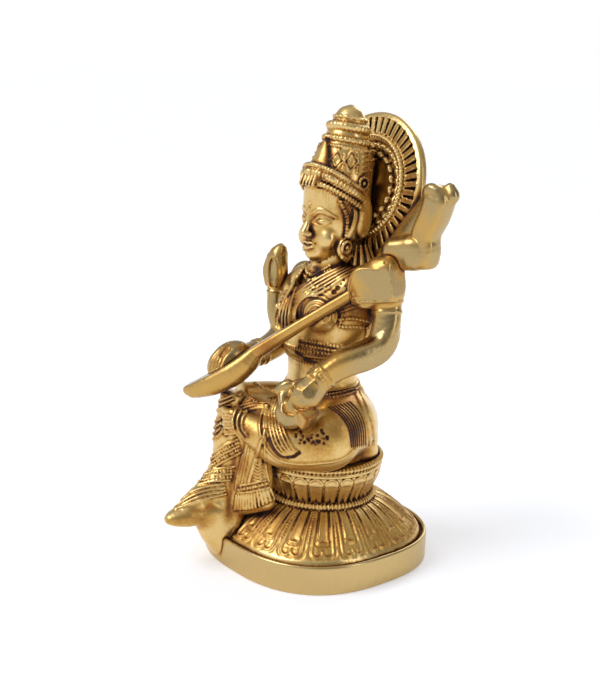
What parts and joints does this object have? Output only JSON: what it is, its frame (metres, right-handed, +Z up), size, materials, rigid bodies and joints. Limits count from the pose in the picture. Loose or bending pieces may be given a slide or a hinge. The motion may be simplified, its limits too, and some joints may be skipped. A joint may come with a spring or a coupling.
{
  "type": "seated four-armed figure with a veena",
  "caption": "Cast brass figure seated on a lotus pedestal, one leg hanging, playing a long-necked veena, with a tall crown and a rayed halo.",
  "frame": {"origin": "centre of the pedestal's flat underside", "axes": "+Z up, the figure faces -Y, and its left side is +X"},
  "size_m": [0.0903, 0.1042, 0.1779],
  "materials": {
    "brass": "polished, dark in the carving"
  },
  "bodies": {
    "root": {"saraswati_figure": "brass"}
  },
  "joints": []
}
